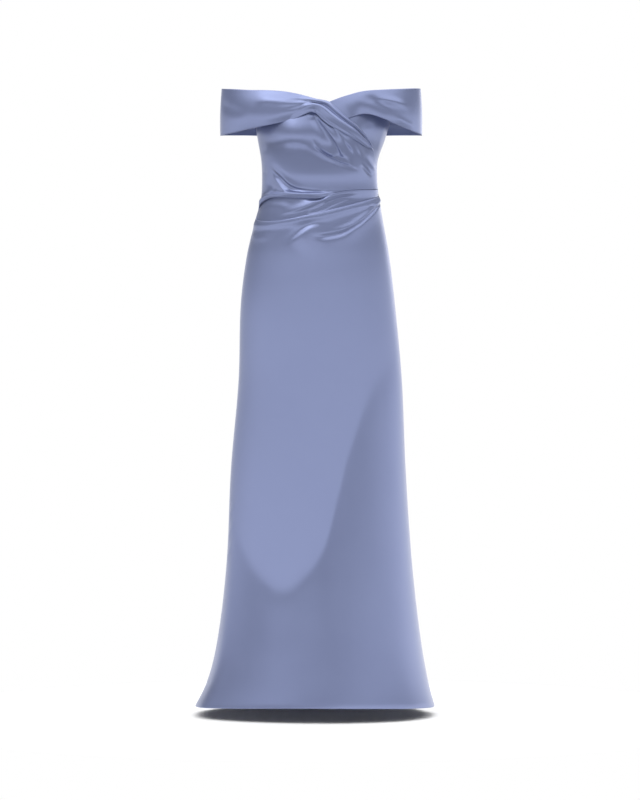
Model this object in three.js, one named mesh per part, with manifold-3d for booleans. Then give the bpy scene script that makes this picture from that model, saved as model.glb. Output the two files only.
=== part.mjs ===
import * as THREE from "three";
import { mergeVertices } from "three/addons/utils/BufferGeometryUtils.js";
import Module from "manifold-3d";

// Off-shoulder evening dress in satin, in the open shape that it has when worn: a draped bodice, a collar
// folded round both upper arms and gathered into a twist at the centre front, a pleated waist, a long flared
// skirt and a concealed zip down the centre back.
// Millimetres, +Z up, the front faces -Y, and the origin is on the wearer's axis at the waist.
// A place on the cloth is a turn in degrees round the axis, from 0 at the centre front over 90 at the side
// on +X to 180 at the centre back, and a height.

const CLOTH = 1.6; // wall of the underlined satin
const COLLAR_CLOTH = 2.2; // the collar is cut double and folded
const SEAM_GAP = 0.4; // between two pieces that are sewn edge to edge
const LAYER_GAP = 0.8; // between two pieces that lie on each other
const HEM_SIDE = -1210; // height of the hem at the side seams
const HEM_FRONT_LIFT = 13;
const HEM_BACK_DROP = 15;
const SIDE_TURN = 90; // the side seams
const UNDERARM = 156; // height of the bodice's top edge at the side seams
const BACK_WAIST = -30; // height of the back waist seam

// The inside of the dress over a general figure: reach to both sides, the front and the back, by height. The
// front is given as it lies on the thighs, and falls free of them below the fall line.
const FIGURE = [
  { z: -1240, left: 304, right: 272, front: 132.5, back: 294 },
  { z: -1148, left: 259, right: 248, front: 131.5, back: 245 },
  { z: -1040, left: 234, right: 230, front: 130, back: 205 },
  { z: -868, left: 214.5, right: 211, front: 128, back: 166 },
  { z: -658, left: 205, right: 197, front: 125.5, back: 142 },
  { z: -448, left: 187, right: 188, front: 123, back: 131 },
  { z: -273, left: 182, right: 172, front: 121, back: 128 },
  { z: -160, left: 168, right: 158.5, front: 117, back: 121 },
  { z: -84, left: 150, right: 145, front: 108, back: 103 },
  { z: -28, left: 135, right: 135, front: 100, back: 88 },
  { z: 20, left: 132, right: 130, front: 98, back: 84 },
  { z: 65, left: 134, right: 132, front: 108, back: 88 },
  { z: 112, left: 142, right: 148, front: 116, back: 92 },
  { z: 150, left: 148, right: 159, front: 114, back: 91 },
  { z: 190, left: 150, right: 162, front: 106, back: 87 },
  { z: 240, left: 151, right: 164, front: 98, back: 84 },
];

// The two cups, as swellings of the front that fall off faster below than above.
const CUPS = { apart: 74, z: 108, rise: 13, across: 46, above: 62, below: 32 };

// Soft flutes of the skirt, which start at a height and grow to their full rise at the hem.
const FLUTES = [
  { turn: -158, wide: 13, rise: 15, start: -420 },
  { turn: -124, wide: 11, rise: 12, start: -500 },
  { turn: -108, wide: 9, rise: 7, start: -560 },
  { turn: -66, wide: 9, rise: 5, start: -640 },
  { turn: 48, wide: 12, rise: 4, start: -760 },
  { turn: 104, wide: 9, rise: 6, start: -620 },
  { turn: 127, wide: 12, rise: 13, start: -480 },
  { turn: 160, wide: 13, rise: 14, start: -440 },
];

// Where the front leaves the thighs, and its reach at the lowest row of the figure.
const FALL_LINE = [
  { turn: -90, z: -650 },
  { turn: -73, z: -739 },
  { turn: -53, z: -853 },
  { turn: -35, z: -920 },
  { turn: -22, z: -942 },
  { turn: -9, z: -907 },
  { turn: 3, z: -839 },
  { turn: 12, z: -724 },
  { turn: 20, z: -621 },
  { turn: 37, z: -483 },
  { turn: 52, z: -437 },
  { turn: 82, z: -344 },
  { turn: 90, z: -325 },
];
const FALL = { reach: 219, ease: 14 };

// Folds of the draped bodice. A fold follows a curve through places given as turn and height, rises by so
// many mm, and dies away over one distance above its line and another below it, and over a share of its
// length at each end. A fold with a negative rise is a groove. Where a line runs down, above is its +X side.
const BODICE_FOLDS = [
  {
    name: "drag fold",
    path: [[-8, 112], [-4, 90], [6, 66], [22, 49], [44, 32]],
    rise: 3.6,
    above: 24,
    below: 4.5,
    fade: 0.16,
  },
  {
    name: "drag fold rim",
    path: [[-4, 92], [2, 77], [13, 60], [28, 45], [44, 34]],
    rise: 3.4,
    above: 5,
    below: 5.5,
    fade: 0.2,
  },
  {
    name: "groove behind the rim",
    path: [[1, 96], [7, 83], [16, 71], [28, 59], [40, 48]],
    rise: -4.4,
    above: 6,
    below: 5,
    fade: 0.2,
  },
  {
    name: "hanging pleat",
    path: [[5, 134], [11, 114], [18, 92], [22, 72], [23, 58]],
    rise: 5,
    above: 7,
    below: 5.5,
    fade: 0.2,
  },
  {
    name: "valley beside the pleat",
    path: [[2, 122], [8, 104], [14, 86], [18, 68]],
    rise: -3,
    above: 5.5,
    below: 6,
    fade: 0.25,
  },
  { name: "cup pleat", path: [[16, 118], [27, 93], [38, 62]], rise: 3.4, above: 9, below: 6, fade: 0.25 },
  { name: "side crease", path: [[40, 64], [50, 44], [64, 22]], rise: -2.4, above: 6, below: 5, fade: 0.25 },
  {
    name: "waist tuck",
    path: [[-53, 50], [-45, 22], [-34, 0], [-18, -11], [20, -13], [60, -8], [110, -5]],
    rise: -4,
    above: 4.4,
    below: 4.4,
    fade: 0.07,
  },
  {
    name: "ridge above the tuck",
    path: [[-50, 56], [-41, 30], [-27, 9], [-6, 0], [16, -3]],
    rise: 4.4,
    above: 9,
    below: 5,
    fade: 0.2,
  },
  {
    name: "ridge below the tuck",
    path: [[-62, 40], [-53, 14], [-42, -4], [-22, -20], [0, -24]],
    rise: 4,
    above: 5,
    below: 7,
    fade: 0.2,
  },
  {
    name: "hip roll",
    path: [[-104, -44], [-62, -23], [-26, -21], [2, -22], [22, -13], [60, -8.5], [112, -5]],
    rise: 5,
    above: 5.5,
    below: 9,
    fade: 0.16,
  },
];

// Folds of the draped panel that shows between the bodice and the skirt.
const WAIST_FOLDS = [
  {
    name: "radiating ridge",
    path: [[-24, -60], [-6, -46], [16, -28], [46, -17]],
    rise: 4.2,
    above: 7,
    below: 5,
    fade: 0.2,
  },
  { name: "left pocket", path: [[-74, -62], [-42, -60], [-14, -66]], rise: 2, above: 9, below: 9, fade: 0.2 },
];

// Folds of the skirt front, which is pleated into the right side seam.
const SKIRT_FOLDS = [
  {
    name: "top roll",
    path: [[-108, -76], [-58, -90], [-10, -76], [40, -46], [112, -18]],
    rise: 5,
    above: 14,
    below: 12,
    fade: 0.14,
  },
  {
    name: "side pleat",
    path: [[104, -22], [64, -55], [40, -92], [16, -120], [-6, -127]],
    rise: -7,
    above: 5.5,
    below: 4.5,
    fade: 0.2,
  },
  {
    name: "roll above the side pleat",
    path: [[104, -8], [66, -46], [42, -80], [20, -108], [-2, -117]],
    rise: 5.4,
    above: 14,
    below: 4.5,
    fade: 0.2,
  },
  {
    name: "drape valley",
    path: [[-24, -94], [-4, -83], [24, -78], [58, -60]],
    rise: -3.4,
    above: 9,
    below: 9,
    fade: 0.25,
  },
  {
    name: "lower swell",
    path: [[-32, -134], [-18, -110], [8, -98]],
    rise: 3,
    above: 10,
    below: 14,
    fade: 0.25,
  },
];

// Heights of the free and hidden edges, by turn.
const BODICE_BOTTOM = [
  { turn: -90, z: -58 },
  { turn: -83, z: -48 },
  { turn: -70, z: -36 },
  { turn: -52, z: -28 },
  { turn: -20, z: -30.5 },
  { turn: 0, z: -32 },
  { turn: 14, z: -22 },
  { turn: 27, z: -16 },
  { turn: 50, z: -11 },
  { turn: 90, z: -5 },
];
const SKIRT_TOP = [
  { turn: -90, z: -61 },
  { turn: -83, z: -71 },
  { turn: -70, z: -78 },
  { turn: -52, z: -82 },
  { turn: -32, z: -80 },
  { turn: -9, z: -68.5 },
  { turn: 19, z: -51.5 },
  { turn: 52, z: -32.5 },
  { turn: 90, z: -18 },
];
const BODICE_TOP = [
  { turn: -90, z: UNDERARM },
  { turn: -60, z: 186 },
  { turn: -32, z: 196 },
  { turn: -10, z: 188 },
  { turn: 6, z: 182 },
  { turn: 30, z: 196 },
  { turn: 60, z: 188 },
  { turn: 90, z: UNDERARM },
];
const TUCKED_UNDER = 13; // how far the waist panel runs on, unseen, under its neighbours

// The seam between the draped bodice and the right cup, from the centre front down to the side seam.
const CUP_SEAM = [
  { turn: 6, z: 176 },
  { turn: 22, z: 151 },
  { turn: 37, z: 125 },
  { turn: 46, z: 104 },
  { turn: 62, z: 84 },
  { turn: 76, z: 57 },
  { turn: 90, z: 44 },
];

// How far each layer's outer side stands off the figure.
const STAND = { back: 3, waist: 1.7, bodice: 4.2, skirtTop: 4.2, skirt: 3 };

// The collar stands on a wide ring round both arms. Its turns are counted on this ring.
const RING = { top: 232, left: 229.5, right: 235, flare: 0.03, front: 7.3, back: 8, gapTurn: 0.2 };

// The left half of the collar, from the arm to the centre front, and on as the twist down to the right side.
// Each row gives its upper and lower edge, how far it stands out, and how much more at its lower edge, how
// closely it follows the figure rather than the ring, how it swells between its edges and how much it is
// gathered.
const LEFT_COLLAR = [
  { upTurn: -90, upZ: 232, lowTurn: -90, lowZ: 121, stand: 0, lift: 0, hug: 0, roll: 1.5, gather: 0 },
  { upTurn: -75, upZ: 229, lowTurn: -75, lowZ: 121, stand: 0, lift: 0, hug: 0, roll: 3, gather: 0 },
  { upTurn: -60, upZ: 226, lowTurn: -60, lowZ: 123, stand: 0, lift: 0, hug: 0, roll: 5, gather: 0 },
  { upTurn: -45, upZ: 222, lowTurn: -46, lowZ: 130, stand: 0, lift: 0, hug: 0, roll: 6, gather: 0 },
  { upTurn: -32, upZ: 220, lowTurn: -33, lowZ: 137, stand: 0, lift: 1, hug: 0, roll: 6, gather: 0 },
  { upTurn: -21.5, upZ: 216.5, lowTurn: -21, lowZ: 146, stand: 0, lift: 4, hug: 0, roll: 5, gather: 0 },
  { upTurn: -13, upZ: 210, lowTurn: -13.5, lowZ: 155, stand: 0, lift: 8, hug: 0.15, roll: 4, gather: 0.15 },
  { upTurn: -6.8, upZ: 202.5, lowTurn: -8.5, lowZ: 162.5, stand: 1, lift: 10, hug: 0.5, roll: 3, gather: 0.5 },
  { upTurn: -2, upZ: 196, lowTurn: -5.2, lowZ: 165.5, stand: 3, lift: 8, hug: 0.85, roll: 2, gather: 0.85 },
  { upTurn: 2.2, upZ: 192.5, lowTurn: -2.3, lowZ: 161, stand: 4.5, lift: 5, hug: 1, roll: 1.5, gather: 1 },
  { upTurn: 5.2, upZ: 188, lowTurn: 0.5, lowZ: 150.5, stand: 5, lift: 2, hug: 1, roll: 1, gather: 1 },
  { upTurn: 8.3, upZ: 176, lowTurn: 4.4, lowZ: 137, stand: 5, lift: 1, hug: 1, roll: 1, gather: 1 },
  { upTurn: 12.2, upZ: 160.5, lowTurn: 9.4, lowZ: 126, stand: 5, lift: 0, hug: 1, roll: 1, gather: 1 },
  { upTurn: 15.8, upZ: 148, lowTurn: 13.8, lowZ: 116, stand: 4.6, lift: 0, hug: 1, roll: 1, gather: 0.9 },
  { upTurn: 19.8, upZ: 135, lowTurn: 18.4, lowZ: 106, stand: 4, lift: 0, hug: 1, roll: 1, gather: 0.75 },
  { upTurn: 23.4, upZ: 121, lowTurn: 22.3, lowZ: 98, stand: 3.2, lift: 0, hug: 1, roll: 1, gather: 0.6 },
  { upTurn: 27, upZ: 104, lowTurn: 26, lowZ: 90.5, stand: 2.4, lift: 0, hug: 1, roll: 0.5, gather: 0.4 },
  { upTurn: 29, upZ: 93, lowTurn: 28.6, lowZ: 85.5, stand: 2, lift: 0, hug: 1, roll: 0, gather: 0.2 },
].map((row, at) => ({ at, ...row }));
const TWIST_PLEATS = [
  { across: 0.06, rise: 3, wide: 0.09 },
  { across: 0.47, rise: 6, wide: 0.13 },
  { across: 0.86, rise: 5, wide: 0.11 },
];

// The right half of the collar, from its end under the twist to the arm.
const RIGHT_COLLAR = [
  { upTurn: 2, upZ: 184, lowTurn: 9, lowZ: 146, stand: 0, lift: 0, hug: 1, roll: 0 },
  { upTurn: 5.5, upZ: 190.5, lowTurn: 15, lowZ: 151, stand: 0, lift: 0, hug: 0.9, roll: 1 },
  { upTurn: 11, upZ: 200, lowTurn: 18.5, lowZ: 156.5, stand: 0, lift: 0, hug: 0.7, roll: 2.5 },
  { upTurn: 16.7, upZ: 208, lowTurn: 22.5, lowZ: 162, stand: 0, lift: 1, hug: 0.5, roll: 4 },
  { upTurn: 22.6, upZ: 215, lowTurn: 26.5, lowZ: 163.5, stand: 0, lift: 2, hug: 0.25, roll: 5 },
  { upTurn: 28.7, upZ: 219, lowTurn: 31, lowZ: 161.5, stand: 0, lift: 2, hug: 0.1, roll: 5 },
  { upTurn: 38.7, upZ: 222, lowTurn: 38.5, lowZ: 153.5, stand: 0, lift: 1, hug: 0, roll: 5 },
  { upTurn: 50.4, upZ: 225, lowTurn: 50.3, lowZ: 139.5, stand: 0, lift: 0, hug: 0, roll: 5 },
  { upTurn: 68, upZ: 229, lowTurn: 68, lowZ: 126, stand: 0, lift: 0, hug: 0, roll: 3.5 },
  { upTurn: 90, upZ: 232, lowTurn: 90, lowZ: 121, stand: 0, lift: 0, hug: 0, roll: 1.5 },
].map((row, at) => ({ at, ...row }));
const RIGHT_COLLAR_FOLDS = [
  { name: "crease", path: [[28, 214], [42, 200], [62, 170]], rise: 6, above: 8, below: 6, fade: 0.25 },
  { name: "hollow", path: [[24, 194], [40, 182], [58, 156]], rise: -4, above: 8, below: 9, fade: 0.25 },
];

// The collar's back halves, from the arm to the centre back.
const BACK_COLLAR = [
  { turn: 90, upZ: 232, lowZ: 121, roll: 1.5 },
  { turn: 110, upZ: 227, lowZ: 124.5, roll: 3 },
  { turn: 143, upZ: 211, lowZ: 127, roll: 3 },
  { turn: 180, upZ: 198, lowZ: 121, roll: 0 },
];

const SLIDER = { z: 190, long: 11, wide: 5.2, thick: 2, bailLong: 6, bailWide: 2.4, bailWall: 0.7 };
const PULL = { long: 22, wide: 6.4, neck: 4.6, thick: 1, bar: 1, clearance: 0.35 };
const PULL_EYE = { wide: 3.4, long: 3.2 };

const CLOTH_LOOK = { color: 0x7d87a8, roughness: 0.38, metalness: 0 };
const ZIP_LOOK = { color: 0x8a90a6, roughness: 0.4, metalness: 0.6 };

const radians = THREE.MathUtils.degToRad;
const mix = THREE.MathUtils.lerp;
const { smoothstep } = THREE.MathUtils;

// Smooth values of every column of a table at one value of its key column.
function readTable(rows, key, at) {
  const last = rows.length - 1;
  let i = 0;
  while (i < last - 1 && at > rows[i + 1][key]) i += 1;
  const span = rows[i + 1][key] - rows[i][key];
  const t = THREE.MathUtils.clamp((at - rows[i][key]) / span, 0, 1);
  const slope = (k, column) => {
    const a = rows[Math.max(k - 1, 0)];
    const b = rows[Math.min(k + 1, last)];
    return (b[column] - a[column]) / (b[key] - a[key]);
  };
  const values = {};
  for (const column of Object.keys(rows[0])) {
    const startRate = slope(i, column) * span;
    const endRate = slope(i + 1, column) * span;
    const start = rows[i][column];
    const change = rows[i + 1][column] - start;
    const bend = 3 * change - 2 * startRate - endRate;
    const twist = startRate + endRate - 2 * change;
    values[column] = start + t * (startRate + t * (bend + t * twist));
  }
  return values;
}

const fallOff = (distance, width) => Math.exp(-((distance / width) ** 2));

function sideReach(turn, z) {
  const row = readTable(FIGURE, "z", z);
  return turn < 0 ? row.left : row.right;
}

function fluteRise(turn, z) {
  let rise = 0;
  for (const flute of FLUTES) {
    if (z < flute.start) {
      const grown = (flute.start - z) / (flute.start - HEM_SIDE);
      rise += flute.rise * grown ** 1.5 * fallOff(turn - flute.turn, flute.wide);
    }
  }
  return rise;
}

// How much further out the front lies below the fall line, on a straight slope to the hem.
function frontFall(turn, z) {
  const line = readTable(FALL_LINE, "turn", turn).z;
  const lowest = FIGURE[0];
  const slope = (FALL.reach - lowest.front) / (line - lowest.z);
  return slope * FALL.ease * Math.log1p(Math.exp((line - z) / FALL.ease));
}

// A point of the figure that the dress is shaped over.
function figurePoint(turn, z) {
  const row = readTable(FIGURE, "z", z);
  const across = Math.sin(radians(turn));
  const ahead = Math.cos(radians(turn));
  const flute = fluteRise(turn, z);
  const x = ((turn < 0 ? row.left : row.right) + flute) * across;
  const reach = Math.abs(turn) < 90 ? row.front + frontFall(turn, z) : row.back;
  let y = -(reach + flute) * ahead;
  if (Math.abs(turn) < 90) {
    const beside = fallOff(Math.abs(x) - CUPS.apart, CUPS.across);
    const upright = fallOff(z - CUPS.z, z > CUPS.z ? CUPS.above : CUPS.below);
    y -= CUPS.rise * beside * upright * Math.min(1, 2 * ahead);
  }
  return new THREE.Vector3(x, y, z);
}

// The outward direction of a surface that is given as a function of two numbers.
function outwardOf(surface, a, b, stepA, stepB) {
  const along = surface(a + stepA, b).sub(surface(a - stepA, b));
  const up = surface(a, b + stepB).sub(surface(a, b - stepB));
  return along.cross(up).normalize();
}

// Mean radius of the dress at a height, which turns degrees into mm round the figure.
function meanRadius(z) {
  const row = readTable(FIGURE, "z", z);
  return (row.left + row.right + row.front + row.back) / 4;
}

const unrolled = (turn, z) => new THREE.Vector2(radians(turn) * meanRadius(z), z);

// Points along a curve through places on the cloth, each in mm round the figure and mm of height.
function foldLine(places, steps) {
  const curve = new THREE.SplineCurve(places.map(([turn, z]) => new THREE.Vector2(turn, z)));
  return curve.getPoints(steps).map((p) => unrolled(p.x, p.y));
}

// How far a place is from a line, positive above it, and how far along the line it is, from 0 to 1.
function fromLine(line, place) {
  const nearest = { distance: Infinity, side: 1, along: 0 };
  for (let i = 0; i < line.length - 1; i += 1) {
    const step = line[i + 1].clone().sub(line[i]);
    const to = place.clone().sub(line[i]);
    const t = THREE.MathUtils.clamp(to.dot(step) / step.lengthSq(), 0, 1);
    const distance = to.distanceTo(step.clone().multiplyScalar(t));
    if (distance < nearest.distance) {
      nearest.distance = distance;
      nearest.side = Math.sign(step.cross(to)) || 1;
      nearest.along = (i + t) / (line.length - 1);
    }
  }
  return nearest;
}

const FOLD_STEPS = 24;

function preparedFolds(folds) {
  return folds.map((fold) => ({ ...fold, line: foldLine(fold.path, FOLD_STEPS) }));
}

// The height that a list of folds adds at a place on the cloth.
function foldRise(folds, turn, z) {
  const place = unrolled(turn, z);
  let rise = 0;
  for (const fold of folds) {
    const near = fromLine(fold.line, place);
    const width = near.side > 0 ? fold.above : fold.below;
    const fade = smoothstep(near.along, 0, fold.fade) * (1 - smoothstep(near.along, 1 - fold.fade, 1));
    rise += fold.rise * fade * fallOff(near.distance, width);
  }
  return rise;
}

// Half the seam gap as degrees of turn at a height.
const gapTurn = (z) => THREE.MathUtils.radToDeg(SEAM_GAP / 2 / meanRadius(z));

// A closed wall of cloth. outer gives the point of its outer side and the outward direction for u and v from
// 0 to 1, u in the direction of growing turn and v upwards.
function clothWall(name, columns, rows, wall, outer) {
  const positions = [];
  const layers = [0, wall];
  for (const depth of layers) {
    for (let j = 0; j <= rows; j += 1) {
      for (let i = 0; i <= columns; i += 1) {
        const { point, out } = outer(i / columns, j / rows);
        positions.push(...point.addScaledVector(out, -depth).toArray());
      }
    }
  }
  const layerSize = (columns + 1) * (rows + 1);
  const vertex = (layer, i, j) => layer * layerSize + j * (columns + 1) + i;
  const faces = [];
  const quad = (a, b, c, d) => faces.push(a, b, c, a, c, d);
  for (let j = 0; j < rows; j += 1) {
    for (let i = 0; i < columns; i += 1) {
      quad(vertex(0, i, j), vertex(0, i + 1, j), vertex(0, i + 1, j + 1), vertex(0, i, j + 1));
      quad(vertex(1, i, j), vertex(1, i, j + 1), vertex(1, i + 1, j + 1), vertex(1, i + 1, j));
    }
  }
  for (let i = 0; i < columns; i += 1) {
    quad(vertex(0, i + 1, 0), vertex(0, i, 0), vertex(1, i, 0), vertex(1, i + 1, 0));
    quad(vertex(0, i, rows), vertex(0, i + 1, rows), vertex(1, i + 1, rows), vertex(1, i, rows));
  }
  for (let j = 0; j < rows; j += 1) {
    quad(vertex(0, 0, j), vertex(0, 0, j + 1), vertex(1, 0, j + 1), vertex(1, 0, j));
    quad(vertex(0, columns, j + 1), vertex(0, columns, j), vertex(1, columns, j), vertex(1, columns, j + 1));
  }
  const geometry = new THREE.BufferGeometry();
  geometry.setAttribute("position", new THREE.Float32BufferAttribute(positions, 3));
  geometry.setIndex(faces);
  geometry.computeVertexNormals();
  const satin = new THREE.MeshStandardMaterial({ ...CLOTH_LOOK, side: THREE.DoubleSide });
  const mesh = new THREE.Mesh(geometry, satin);
  mesh.name = name;
  return mesh;
}

const even = (share) => share;

// A piece that lies over the figure between two turns and two edges. low and high give an edge's height at a
// turn, stand gives how far out the cloth lies, and columnAt and rowAt say where the columns and rows crowd.
function figurePiece(name, piece) {
  const { from, to, low, high, columns, rows, stand, columnAt = even, rowAt = even } = piece;
  return clothWall(name, columns, rows, CLOTH, (u, v) => {
    const rough = mix(from, to, columnAt(u));
    const z = mix(low(rough), high(rough), rowAt(v));
    const turn = mix(from + gapTurn(z), to - gapTurn(z), columnAt(u));
    const out = outwardOf(figurePoint, turn, z, 0.5, 2);
    return { point: figurePoint(turn, z).addScaledVector(out, stand(turn, z)), out };
  });
}

const edgeOf = (rows) => (turn) => readTable(rows, "turn", turn).z;
const bodiceBottom = edgeOf(BODICE_BOTTOM);
const bodiceTop = edgeOf(BODICE_TOP);
const skirtTop = edgeOf(SKIRT_TOP);
const cupSeam = edgeOf(CUP_SEAM);
const seamStart = CUP_SEAM[0].turn;

function hemHeight(turn) {
  const ahead = Math.cos(radians(turn));
  return HEM_SIDE + (ahead > 0 ? HEM_FRONT_LIFT : HEM_BACK_DROP) * ahead * Math.abs(ahead) ** 0.5;
}

// The columns of the front pieces crowd at the centre front, where the folds are.
const CROWDING = 0.38;
const frontColumn = (u) => u + (CROWDING * Math.sin(2 * Math.PI * u)) / (2 * Math.PI);

// The rows of the bodice crowd at the waist, and those of the skirt below its top edge.
const bodiceRow = (v) => 0.58 * v + 0.42 * v ** 3;
const skirtRow = (v) => 1 - (0.1 * (1 - v) + 0.9 * (1 - v) ** 3);

function bodiceFront() {
  const folds = preparedFolds(BODICE_FOLDS);
  const onPanel = STAND.waist + CLOTH + LAYER_GAP;
  const draped = (turn) => {
    if (turn > seamStart) return cupSeam(turn) - SEAM_GAP;
    return mix(bodiceTop(turn), cupSeam(seamStart) - SEAM_GAP, smoothstep(turn, 0, seamStart));
  };
  return figurePiece("bodice_front", {
    from: -SIDE_TURN,
    to: SIDE_TURN,
    low: bodiceBottom,
    high: draped,
    columns: 42,
    rows: 36,
    columnAt: frontColumn,
    rowAt: bodiceRow,
    stand: (turn, z) => {
      const overPanel = 1 - smoothstep(z - bodiceBottom(turn), TUCKED_UNDER, 1.6 * TUCKED_UNDER);
      const least = mix(CLOTH, onPanel, overPanel);
      return Math.max(STAND.bodice + foldRise(folds, turn, z), least);
    },
  });
}

function cupRight() {
  return figurePiece("cup_right", {
    from: seamStart,
    to: SIDE_TURN,
    low: (turn) => cupSeam(turn) + SEAM_GAP,
    high: bodiceTop,
    columns: 20,
    rows: 6,
    stand: () => STAND.bodice,
  });
}

function waistPanel() {
  const folds = preparedFolds(WAIST_FOLDS);
  // The folds rise only where the panel shows, because its edges lie under the bodice and the skirt.
  const shown = (turn, z) => smoothstep(Math.min(bodiceBottom(turn) - z, z - skirtTop(turn)), 0, 8);
  return figurePiece("waist_panel", {
    from: -SIDE_TURN,
    to: SIDE_TURN,
    low: (turn) => skirtTop(turn) - TUCKED_UNDER,
    high: (turn) => bodiceBottom(turn) + TUCKED_UNDER,
    columns: 42,
    rows: 6,
    columnAt: frontColumn,
    stand: (turn, z) => STAND.waist + shown(turn, z) * foldRise(folds, turn, z),
  });
}

function skirtFront() {
  const folds = preparedFolds(SKIRT_FOLDS);
  const easedOver = 150; // the skirt comes in to its own line over this depth below its top edge
  const onPanel = STAND.waist + CLOTH + LAYER_GAP;
  return figurePiece("skirt_front", {
    from: -SIDE_TURN,
    to: SIDE_TURN,
    low: hemHeight,
    high: skirtTop,
    columns: 28,
    rows: 26,
    columnAt: frontColumn,
    rowAt: skirtRow,
    stand: (turn, z) => {
      const depth = skirtTop(turn) - z;
      const base = mix(STAND.skirtTop, STAND.skirt, smoothstep(depth, 0, easedOver));
      const least = mix(onPanel, CLOTH, smoothstep(depth, TUCKED_UNDER, 1.6 * TUCKED_UNDER));
      return Math.max(base + foldRise(folds, turn, z), least);
    },
  });
}

// The back pieces of one side. side is 1 on +X and -1 on -X.
function backPieces(side, tag) {
  const [from, to] = side > 0 ? [SIDE_TURN, 180] : [-180, -SIDE_TURN];
  const bodice = figurePiece("bodice_back_" + tag, {
    from,
    to,
    low: () => BACK_WAIST + SEAM_GAP / 2,
    high: () => UNDERARM,
    columns: 8,
    rows: 7,
    stand: () => STAND.back,
  });
  const skirt = figurePiece("skirt_back_" + tag, {
    from,
    to,
    low: hemHeight,
    high: () => BACK_WAIST - SEAM_GAP / 2,
    columns: 12,
    rows: 14,
    rowAt: skirtRow,
    stand: () => STAND.back,
  });
  return [bodice, skirt];
}

// The least distance in front of the figure, at a place in the front view, that clears the bodice.
function clearDepth(x, z) {
  const share = x / sideReach(x, z);
  if (Math.abs(share) > 0.97) return 0;
  return -figurePoint(THREE.MathUtils.radToDeg(Math.asin(share)), z).y + RING.front;
}

// A point of the ring that the collar stands on, at a turn of the ring and a height.
function ringPoint(turn, z, stand) {
  const row = readTable(FIGURE, "z", z);
  const reach = (turn < 0 ? RING.left : RING.right) + RING.flare * (RING.top - z);
  const x = (reach + stand) * Math.sin(radians(turn));
  const ahead = Math.cos(radians(turn));
  if (ahead < 0) return new THREE.Vector3(x, -(row.back + RING.back + stand) * ahead, z);
  const depth = (row.front + RING.front + stand) * ahead;
  return new THREE.Vector3(x, -Math.max(depth, clearDepth(x, z) + stand), z);
}

// The same place in the front view, but lying on the figure.
function huggingPoint(turn, z, stand) {
  const onRing = ringPoint(turn, z, 0);
  const share = THREE.MathUtils.clamp(onRing.x / sideReach(turn, z), -0.97, 0.97);
  const figureTurn = THREE.MathUtils.radToDeg(Math.asin(share));
  const out = outwardOf(figurePoint, figureTurn, z, 0.5, 2);
  return figurePoint(figureTurn, z).addScaledVector(out, RING.front + stand);
}

// A piece of the collar. smooth gives the point of its unfolded form and its table's values for u and v.
function collarPiece(name, columns, rows, smooth, foldAt) {
  return clothWall(name, columns, rows, COLLAR_CLOTH, (u, v) => {
    const place = smooth(u, v);
    const out = outwardOf((a, b) => smooth(a, b).point, u, v, 0.004, 0.02);
    const swell = place.row.roll * Math.sin(Math.PI * THREE.MathUtils.clamp(v, 0, 1));
    return { point: place.point.addScaledVector(out, swell + foldAt(place)), out };
  });
}

function frontCollarPlace(table) {
  return (u, v) => {
    const row = readTable(table, "at", u * (table.length - 1));
    const turn = mix(row.lowTurn, row.upTurn, v);
    const z = mix(row.lowZ, row.upZ, v);
    const hug = THREE.MathUtils.clamp(row.hug, 0, 1);
    const stand = row.stand + row.lift * (1 - v) ** 2;
    const point = ringPoint(turn, z, stand).lerp(huggingPoint(turn, z, stand), hug);
    return { row, turn, z, v, point };
  };
}

function twistRise({ row, v }) {
  let rise = 0;
  for (const pleat of TWIST_PLEATS) rise += row.gather * pleat.rise * fallOff(v - pleat.across, pleat.wide);
  return rise;
}

function backCollar(tag, side) {
  const place = (u, v) => {
    const turn = mix(SIDE_TURN + RING.gapTurn, 180 - RING.gapTurn, side > 0 ? u : 1 - u);
    const row = readTable(BACK_COLLAR, "turn", turn);
    return { row, point: ringPoint(side * turn, mix(row.lowZ, row.upZ, v), 0) };
  };
  return collarPiece("collar_back_" + tag, 14, 4, place, () => 0);
}

function collars() {
  const folds = preparedFolds(RIGHT_COLLAR_FOLDS);
  const creaseRise = ({ turn, z }) => foldRise(folds, turn, z);
  return [
    collarPiece("collar_front_left", 42, 12, frontCollarPlace(LEFT_COLLAR), twistRise),
    collarPiece("collar_front_right", 24, 6, frontCollarPlace(RIGHT_COLLAR), creaseRise),
    backCollar("left", -1),
    backCollar("right", 1),
  ];
}

// Joining and cutting of the small hard pieces.
const wasm = await Module();
wasm.setup();

function solidOf(geometry, x = 0, y = 0, z = 0) {
  const bare = geometry.clone().translate(x, y, z);
  bare.deleteAttribute("normal");
  bare.deleteAttribute("uv");
  const merged = mergeVertices(bare, 1e-4);
  return new wasm.Manifold(
    new wasm.Mesh({
      numProp: 3,
      vertProperties: new Float32Array(merged.attributes.position.array),
      triVerts: new Uint32Array(merged.index.array),
    }),
  );
}

function meshOf(solid, name, look) {
  const made = solid.getMesh();
  const geometry = new THREE.BufferGeometry();
  geometry.setAttribute("position", new THREE.BufferAttribute(made.vertProperties, 3));
  geometry.setIndex(new THREE.BufferAttribute(made.triVerts, 1));
  geometry.computeVertexNormals();
  const mesh = new THREE.Mesh(geometry, new THREE.MeshStandardMaterial(look));
  mesh.name = name;
  return mesh;
}

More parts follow.
